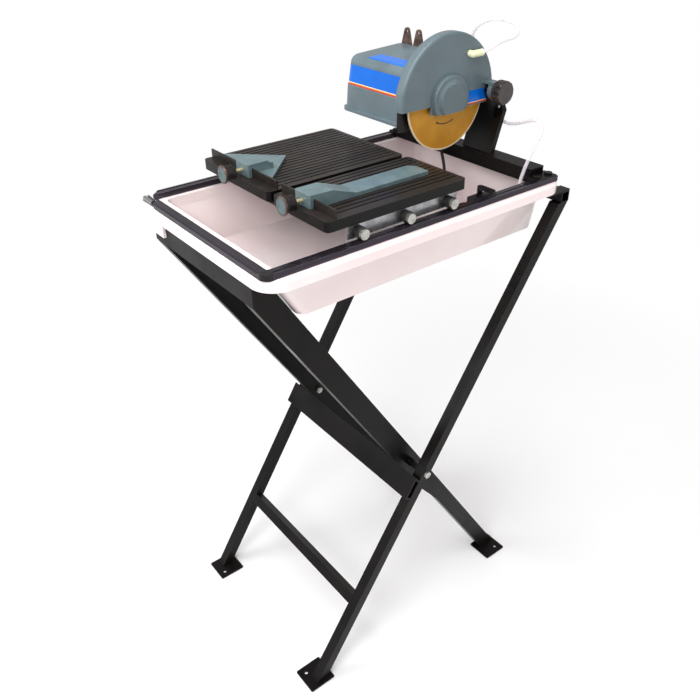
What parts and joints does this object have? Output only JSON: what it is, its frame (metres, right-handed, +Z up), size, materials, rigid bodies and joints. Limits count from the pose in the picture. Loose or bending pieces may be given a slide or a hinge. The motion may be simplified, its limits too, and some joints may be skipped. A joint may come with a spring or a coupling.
{
  "type": "tile cutter",
  "caption": "Wet tile saw with a tilting blade head over a sliding table in a water pan, on a folding stand of crossed legs.",
  "frame": {"origin": "on the floor under the middle of the stand, below the pivot where the two pairs of legs cross", "axes": "+Z up, +Y the cutting direction from the operator towards the blade, +X to the operator's right"},
  "size_m": [0.4294, 0.6495, 1.2072],
  "materials": {
    "black_paint": "black powder coat",
    "zinc": "bright zinc",
    "brown_steel": "browned steel",
    "pan_white": "glossy white moulding",
    "rail_black": "black with a worn top edge",
    "black_plastic": "moulded black plastic",
    "head_grey": "blue grey moulding",
    "guide_grey": "painted blue grey casting",
    "table_black": "ribbed black casting",
    "blade_gold": "gold coated steel",
    "steel": "machined steel",
    "brass": "turned brass",
    "roller_black": "nylon",
    "pump_black": "moulded black plastic",
    "hose_clear": "clear soft tube",
    "lead_rubber": "black rubber sheath",
    "elbow_white": "white moulding"
  },
  "bodies": {
    "tube_frame": {"tube_leg_right": "black_paint", "tube_leg_left": "black_paint", "front_foot_plates": "black_paint", "lower_crossbar": "black_paint", "rear_support_bar": "black_paint", "support_tabs": "black_paint", "pivot_bolts": "zinc", "pivot_nuts": "zinc", "pivot_spacers": "black_paint"},
    "channel_frame": {"channel_leg_right": "black_paint", "channel_leg_left": "black_paint", "rear_foot_plates": "black_paint", "front_cross_channel": "black_paint", "stop_channel": "black_paint"},
    "saw_base": {"water_pan": "pan_white", "rails": "rail_black", "front_rail_tube": "rail_black", "rail_corner_cap": "black_plastic", "corner_latch": "steel", "rear_beam": "black_paint", "beam_bolts": "black_paint", "tilt_post": "black_paint", "pump_body": "pump_black", "water_hose_lower": "hose_clear", "pump_lead": "lead_rubber"},
    "lock_knob": {"lock_knob": "black_plastic", "lock_bolt": "steel"},
    "head": {"blade_guard": "head_grey", "head_arm": "head_grey", "guard_hub_cap": "head_grey", "splash_flap": "black_plastic", "motor_cover_lower": "head_grey", "motor_cover_upper": "head_grey", "motor_stator": "steel", "shaft_bearings": "steel", "carry_lugs": "brown_steel", "water_elbow": "elbow_white", "water_hose_upper": "hose_clear"},
    "blade": {"arbor_shaft": "steel", "blade": "blade_gold", "blade_flanges": "steel", "arbor_nut": "steel"},
    "table": {"table_left": "table_black", "table_right": "table_black", "table_bridges": "black_paint", "roller_brackets": "steel", "axle_bolts": "zinc", "ruler_bars": "table_black"},
    "rip_guide": {"rip_guide": "guide_grey"},
    "mitre_guide": {"mitre_guide": "guide_grey"},
    "rip_knob": {"rip_knob": "black_plastic", "rip_screw": "brass"},
    "mitre_knob": {"mitre_knob": "black_plastic", "mitre_screw": "brass"},
    "roller_right_1": {"roller_right_1": "roller_black"},
    "roller_right_2": {"roller_right_2": "roller_black"},
    "roller_right_3": {"roller_right_3": "roller_black"},
    "roller_left_1": {"roller_left_1": "roller_black"},
    "roller_left_2": {"roller_left_2": "roller_black"},
    "roller_left_3": {"roller_left_3": "roller_black"}
  },
  "joints": [
    {"name": "saw_lift", "type": "slide", "parent": "tube_frame", "child": "saw_base", "axis": [0, 0, 1], "range_m": [0, 1.06]},
    {"name": "stand_fold", "type": "hinge", "parent": "tube_frame", "child": "channel_frame", "pos_m": [0, 0, 0.4247], "axis": [-1, 0, 0], "range_deg": [0, 57.5]},
    {"name": "table_slide", "type": "slide", "parent": "saw_base", "child": "table", "axis": [0, 1, 0], "range_m": [-0.15, 0.15]},
    {"name": "head_tilt", "type": "hinge", "parent": "saw_base", "child": "head", "pos_m": [0, 0.2637, 1.0865], "axis": [-1, 0, 0], "range_deg": [0, 20]},
    {"name": "lock_knob_turn", "type": "hinge", "parent": "saw_base", "child": "lock_knob", "pos_m": [0, 0.2637, 1.0865], "axis": [1, 0, 0], "range_deg": [0, 180]},
    {"name": "blade_spin", "type": "hinge", "parent": "head", "child": "blade", "pos_m": [0.0334, 0.1702, 1.0837], "axis": [1, 0, 0], "continuous": true},
    {"name": "rip_guide_slide", "type": "slide", "parent": "table", "child": "rip_guide", "axis": [1, 0, 0], "range_m": [-0.042, 0.05]},
    {"name": "mitre_guide_slide", "type": "slide", "parent": "table", "child": "mitre_guide", "axis": [1, 0, 0], "range_m": [-0.09, 0.025]},
    {"name": "rip_knob_turn", "type": "hinge", "parent": "rip_guide", "child": "rip_knob", "pos_m": [0.1075, -0.2, 1.01], "axis": [0, 1, 0], "range_deg": [0, 180]},
    {"name": "mitre_knob_turn", "type": "hinge", "parent": "mitre_guide", "child": "mitre_knob", "pos_m": [-0.0665, -0.2, 1.01], "axis": [0, 1, 0], "range_deg": [0, 180]},
    {"name": "roller_right_1_roll", "type": "hinge", "parent": "table", "child": "roller_right_1", "pos_m": [0.184, -0.1413, 0.9699], "axis": [-1, 0, 0], "range_deg": [-860, 860]},
    {"name": "roller_right_2_roll", "type": "hinge", "parent": "table", "child": "roller_right_2", "pos_m": [0.184, -0.0493, 0.9699], "axis": [-1, 0, 0], "range_deg": [-860, 860]},
    {"name": "roller_right_3_roll", "type": "hinge", "parent": "table", "child": "roller_right_3", "pos_m": [0.184, 0.0427, 0.9699], "axis": [-1, 0, 0], "range_deg": [-860, 860]},
    {"name": "roller_left_1_roll", "type": "hinge", "parent": "table", "child": "roller_left_1", "pos_m": [-0.184, -0.1413, 0.9699], "axis": [-1, 0, 0], "range_deg": [-860, 860]},
    {"name": "roller_left_2_roll", "type": "hinge", "parent": "table", "child": "roller_left_2", "pos_m": [-0.184, -0.0493, 0.9699], "axis": [-1, 0, 0], "range_deg": [-860, 860]},
    {"name": "roller_left_3_roll", "type": "hinge", "parent": "table", "child": "roller_left_3", "pos_m": [-0.184, 0.0427, 0.9699], "axis": [-1, 0, 0], "range_deg": [-860, 860]}
  ],
  "couplings": [
    {"joint": "stand_fold", "follows": "saw_lift", "rad_per_m": 0.94},
    {"joint": "roller_right_1_roll", "follows": "table_slide", "rad_per_m": 100},
    {"joint": "roller_right_2_roll", "follows": "table_slide", "rad_per_m": 100},
    {"joint": "roller_right_3_roll", "follows": "table_slide", "rad_per_m": 100},
    {"joint": "roller_left_1_roll", "follows": "table_slide", "rad_per_m": 100},
    {"joint": "roller_left_2_roll", "follows": "table_slide", "rad_per_m": 100},
    {"joint": "roller_left_3_roll", "follows": "table_slide", "rad_per_m": 100}
  ]
}
